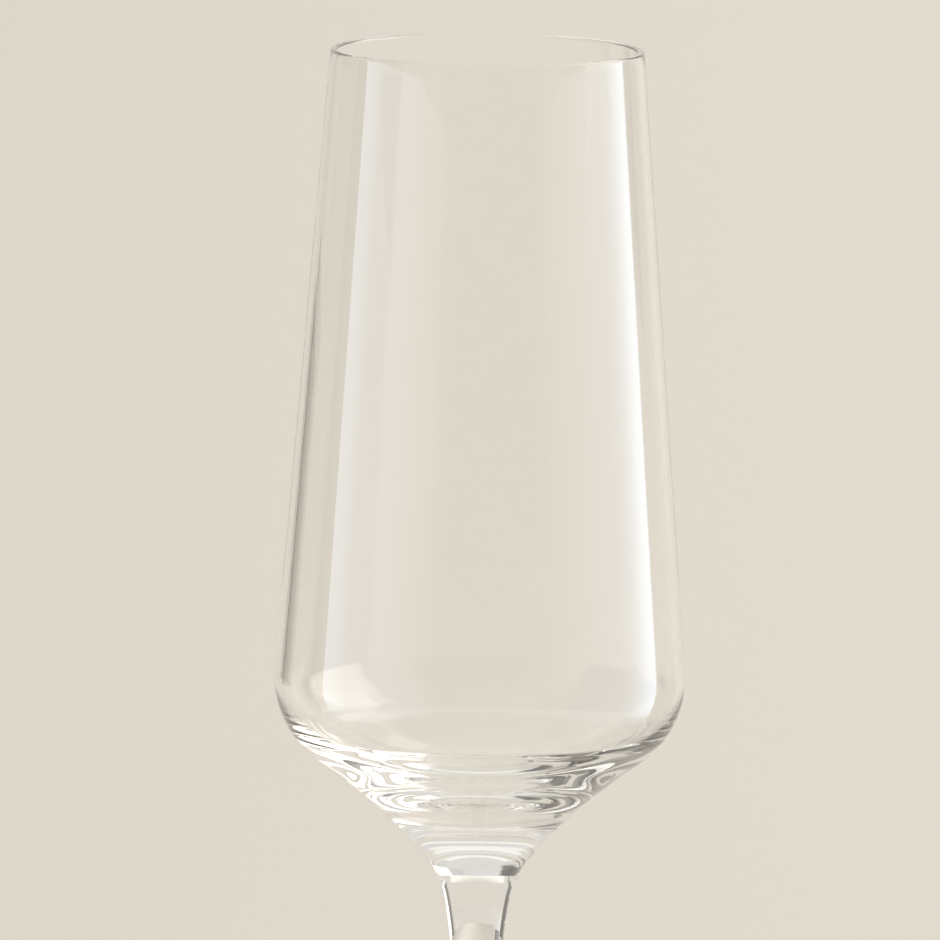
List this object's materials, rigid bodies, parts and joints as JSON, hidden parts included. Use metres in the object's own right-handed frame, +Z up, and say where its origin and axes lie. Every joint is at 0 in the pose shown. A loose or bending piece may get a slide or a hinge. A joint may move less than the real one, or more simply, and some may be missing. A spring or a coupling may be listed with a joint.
{
  "type": "champagne flute",
  "caption": "Tall stemmed drinking glass: tapering bowl with a round shoulder and thick conical base, slim drawn stem and flat disc foot.",
  "frame": {"origin": "centre of the resting plane under the foot, on the glass's axis", "axes": "+Z up along the glass's axis, from the foot to the rim; X and Y are equivalent, because the glass is a body of revolution"},
  "size_m": [0.068, 0.068, 0.235],
  "materials": {
    "clear_glass": "clear, fire-polished, smooth and glossy"
  },
  "bodies": {
    "root": {"bowl": "clear_glass", "stem": "clear_glass", "foot": "clear_glass"}
  },
  "joints": []
}
